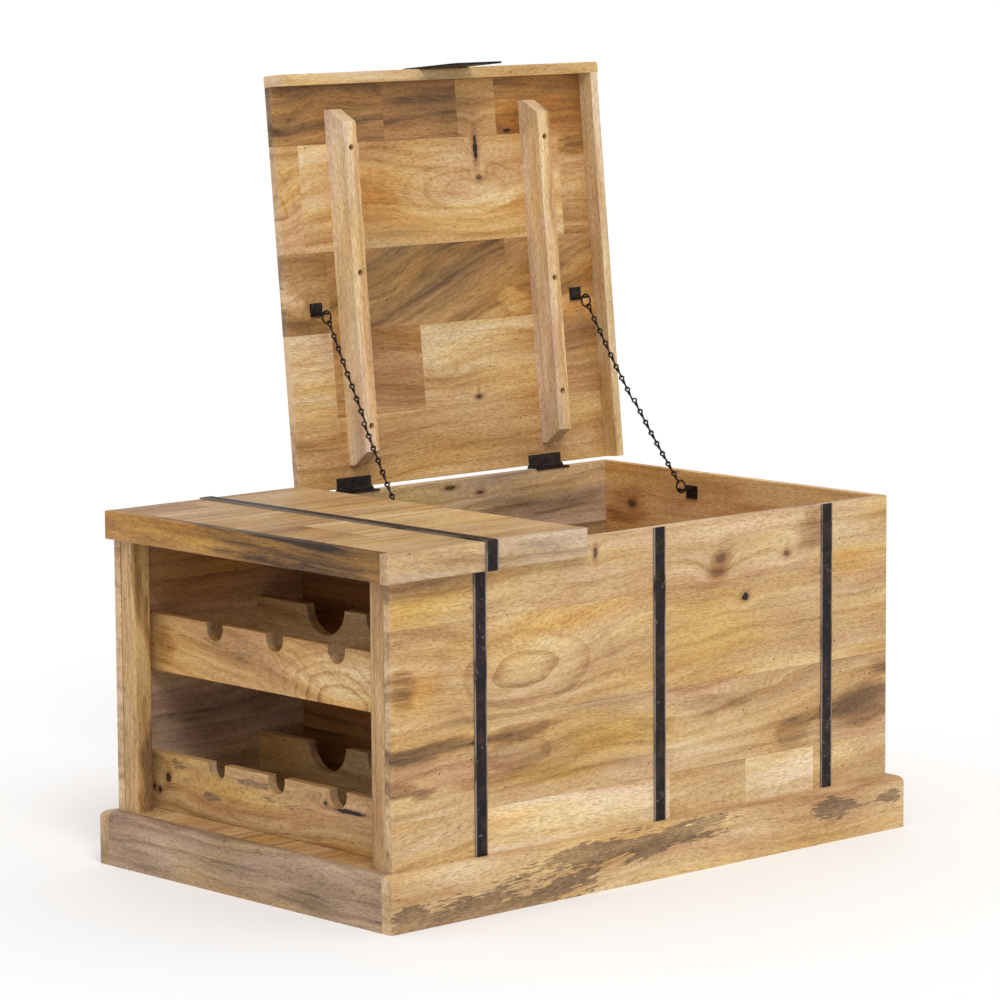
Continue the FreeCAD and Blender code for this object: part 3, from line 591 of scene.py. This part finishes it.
slate = srgb(226, 234, 242)
opening = math.radians(95.5)
lid_start = frame["joints"][0]["pos_m"]
from_hinge = (0.0, -math.cos(opening), math.sin(opening))
dress(mango("lid_wood", along_x, from_hinge, [
    (0.097, [(0.5, 0.33, 0.13, 0.0, 0.04)]),
    (0.210, [(-0.05, 0.16, 0.23, 0.0, 0.0), (0.107, 0.48, 0.33, 0.0, -0.08), (0.33, 0.22, 0.43, 0.0, 0.0),
             (0.5, 0.44, 0.53, 0.0, 0.0)]),
    (0.317, [(-0.05, 0.50, 0.63, 0.0, 0.0), (0.27, 0.54, 0.73, 0.0, 0.35), (0.5, 0.51, 0.83, 0.0, 0.25)]),
    (0.459, [(-0.083, 0.34, 0.16, 0.0, 0.0), (0.02, 0.18, 0.26, 0.0, 0.0), (0.385, 0.32, 0.36, 0.0, 0.0),
             (0.5, 0.46, 0.46, 0.0, 0.0)]),
    (0.60, [(0.067, 0.62, 0.56, 0.0, 0.0), (0.20, 0.68, 0.66, 0.0, 0.0), (0.27, 0.44, 0.76, 0.0, 0.0),
            (0.5, 0.62, 0.86, 0.0, 0.0)]),
], golden_tones,
    eyes=[(0.20, 0.390, 0.15, 0.046, 3.6, 0.17), (0.15, 0.150, 0.06, 0.030, 2.0, 0.10),
          (-0.105, 0.255, 0.03, 0.03, 2.4, 0.15), (-0.10, 0.49, 0.04, 0.03, 2.0, 0.06),
          (-0.13, 0.385, 0.04, 0.05, 2.0, 0.2)],
    zones=[(0.283, 0.236, 0.03, 0.018, -0.30), (0.40, 0.222, 0.05, 0.018, -0.30),
           (-0.11, 0.26, 0.02, 0.02, -0.25),
           (-0.09, 0.222, 0.04, 0.008, 0.14), (0.422, 0.441, 0.03, 0.02, 0.22),
           (0.03, 0.385, 0.06, 0.03, 0.14),
           (0.24, 0.375, 0.06, 0.02, -0.14), (0.10, 0.33, 0.15, 0.006, 0.10)],
    washes=[(0.285, 0.238, 0.04, 0.022, gold), (0.40, 0.222, 0.05, 0.02, amber),
            (0.36, 0.50, 0.09, 0.06, gold),
            (0.08, 0.27, 0.20, 0.06, slate), (0.40, 0.17, 0.05, 0.03, lilac),
            (0.03, 0.15, 0.06, 0.05, lilac),
            (0.05, 0.44, 0.06, 0.015, lilac), (0.03, 0.39, 0.05, 0.02, gold)],
    knots=[(0.232, 0.442, 0.004, 0.018, 1.0), (0.236, 0.402, 0.005, 0.003, 0.7),
           (0.292, 0.464, 0.007, 0.003, 0.9),
           (0.207, 0.105, 0.006, 0.003, 0.8)], start=lid_start), "lid_panel")
dress(mango("lid_front_lip_wood", along_x, from_hinge, [(1.0, [(0.5, 0.28, 0.27, 0.0, 0.0)])],
            start=lid_start), "lid_front_lip")
dress(mango("lid_right_lip_wood", from_hinge, along_x, [(1.0, [(0.6, 0.18, 0.37, 0.0, 0.0)])],
            start=lid_start), "lid_right_lip")
batten_washes = []
for batten in ("lid_batten_left", "lid_batten_right"):
    low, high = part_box(batten)
    batten_washes.append((0.25, high.x, 1.0, (high.x - low.x) * 0.7, gold))
dress(mango("batten_wood", from_hinge, along_x, [(1.0, [(0.6, 0.14, 0.31, 0.0, 0.0)])], ash_tones,
            washes=batten_washes, start=lid_start), "lid_batten_left", "lid_batten_right")


# PULL TAB
# A flat plate of black iron with rounded corners on the face of the lid's front lip, held by small nails. Its
# free end stands out past the lip, and the lid is lifted by it.

dress(iron("tab_iron", 0.3, 0.38), "lid_pull_tab")


# CHAINS
# Two light chains of blacked iron wire keep the lid from falling back. Each link is bent to an eye at both
# ends and twisted a quarter round between them. A ring holds each end of a chain to a staple under the lid
# or a stud in the box.

wire = 0.0012
wire_sides = 8
eye_half_width = 0.0021
link_points = 48

# Shares of a link's half length: where its eyes begin, and where its twist is done. The waist is in
# radii of the wire.
eye_start = 0.68
twist_end = 0.36
waist = 0.9

link_iron = iron("chain_iron", 0.25, 0.40)
dress(link_iron, "left_lid_chain_anchor", "right_lid_chain_anchor",
      "left_body_chain_anchor", "right_body_chain_anchor",
      "left_chain_upper_ring", "left_chain_lower_ring", "right_chain_upper_ring", "right_chain_lower_ring")


def loose_parts(mesh):
    """The points of each separate part of a mesh whose faces meet where their points share a place."""
    spots = [tuple(round(value, 6) for value in vertex.co) for vertex in mesh.vertices]
    part = {spot: spot for spot in spots}

    def first(spot):
        while part[spot] != spot:
            part[spot] = part[part[spot]]
            spot = part[spot]
        return spot

    for edge in mesh.edges:
        part[first(spots[edge.vertices[0]])] = first(spots[edge.vertices[1]])
    parts = {}
    for spot in part:
        parts.setdefault(first(spot), []).append(Vector(spot))
    return list(parts.values())


def twisted_link(points):
    """The centre line of a twisted link that takes the place of a plain oval one with these points."""
    middle = sum(points, Vector()) / len(points)
    tip = max(points, key=lambda point: (point - middle).length)
    axis = (tip - middle).normalized()
    if axis.z < 0:
        axis = -axis
    half_length = (tip - middle).length - wire
    level = (Vector(along_x) - axis * axis.x).normalized()
    low_way = (level + axis.cross(level)).normalized()
    high_way = axis.cross(low_way)
    path = []
    for number in range(link_points):
        turn = 2 * math.pi * number / link_points
        along = math.cos(turn)
        side = math.sin(turn)
        reach = (abs(along) - eye_start) / (1 - eye_start)
        if reach > 0:
            swell = math.sqrt(max(0, 1 - reach ** 2))
        else:
            swell = 0.5 + 0.5 * math.cos(math.pi * max(-1, reach))
        out = wire * waist * side + math.copysign(eye_half_width * swell, side)
        twisted = max(-1, min(1, along / twist_end))
        twist = math.pi / 4 + math.pi / 4 * math.sin(math.pi / 2 * twisted)
        way = low_way * math.cos(twist) + high_way * math.sin(twist)
        path.append(middle + axis * half_length * along + way * out)
    return path


def wire_mesh(name, paths):
    """Round wire along closed paths."""
    corners = []
    faces = []
    for path in paths:
        start = len(corners)
        for index, point in enumerate(path):
            ahead = (path[(index + 1) % len(path)] - path[index - 1]).normalized()
            if index == 0:
                out = ahead.orthogonal().normalized()
            else:
                out = (out - ahead * out.dot(ahead)).normalized()
            for side in range(wire_sides):
                turn = 2 * math.pi * side / wire_sides
                corners.append(point + (out * math.cos(turn) + ahead.cross(out) * math.sin(turn)) * wire)
        for index in range(len(path)):
            here = start + index * wire_sides
            there = start + (index + 1) % len(path) * wire_sides
            for side in range(wire_sides):
                after = (side + 1) % wire_sides
                faces.append((here + side, here + after, there + after, there + side))
    mesh = bpy.data.meshes.new(name)
    mesh.from_pydata(corners, [], faces)
    mesh.shade_smooth()
    return mesh


for chain in ("left_upper", "left_lower", "right_upper", "right_lower"):
    place, half = chain.split("_")
    plain = f"{place}_chain_{half}_links"
    paths = [twisted_link(points) for points in loose_parts(nodes[plain].data)]
    mesh = wire_mesh(f"{plain}_twisted", paths)
    mesh.materials.append(link_iron)
    links = bpy.data.objects.new(f"{plain}_twisted", mesh)
    bpy.context.scene.collection.objects.link(links)
    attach(links, f"{chain}_chain")
    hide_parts(plain)


# STUDIO
# A wide floor of pale paper under a bright even surround, with one broad soft light from above, and the
# camera where the photograph was taken from.

half_floor = 60
floor_corners = [(-half_floor, -half_floor, 0), (half_floor, -half_floor, 0),
                 (half_floor, half_floor, 0), (-half_floor, half_floor, 0)]
floor_mesh = bpy.data.meshes.new("studio_floor")
floor_mesh.from_pydata(floor_corners, [], [(0, 1, 2, 3)])
floor = bpy.data.objects.new("studio_floor", floor_mesh)
bpy.context.scene.collection.objects.link(floor)
paper = bpy.data.materials.new("studio_paper")
paper.use_nodes = True
paper_finish = paper.node_tree.nodes["Principled BSDF"]
paper_finish.inputs["Base Color"].default_value = (0.95, 0.95, 0.95, 1.0)
paper_finish.inputs["Roughness"].default_value = 0.9
floor_mesh.materials.append(paper)

world = bpy.data.worlds.new("studio")
world.use_nodes = True
surround = world.node_tree.nodes["Background"]
surround.inputs["Color"].default_value = (1.0, 1.0, 1.0, 1.0)
surround.inputs["Strength"].default_value = 0.75
bpy.context.scene.world = world

lamp = bpy.data.lights.new("key_light", "SUN")
lamp.energy = 1.45
lamp.angle = math.radians(30)
key_light = bpy.data.objects.new("key_light", lamp)
light_way = Vector((0.36, 0.58, -0.73))
key_light.rotation_euler = light_way.to_track_quat("-Z", "Y").to_euler()
bpy.context.scene.collection.objects.link(key_light)

azimuth = math.radians(-42.52)
elevation = math.radians(7.74)
roll = math.radians(-0.38)
aim = Vector((-0.01296, -0.02688, 0.45405))
distance = 5.74035
back = Vector((math.sin(azimuth) * math.cos(elevation),
               -math.cos(azimuth) * math.cos(elevation),
               math.sin(elevation)))
level = Vector((0, 0, 1)).cross(back).normalized()
right = level * math.cos(roll) + back.cross(level) * math.sin(roll)
camera_data = bpy.data.cameras.new("camera")
camera_data.sensor_width = 36.0
camera_data.lens = 160.65
camera_data.clip_end = 200.0
camera = bpy.data.objects.new("camera", camera_data)
camera_turn = Matrix((right, back.cross(right), back)).transposed().to_4x4()
camera.matrix_world = Matrix.Translation(aim + back * distance) @ camera_turn
bpy.context.scene.collection.objects.link(camera)
bpy.context.scene.camera = camera
bpy.context.scene.view_settings.view_transform = "Standard"
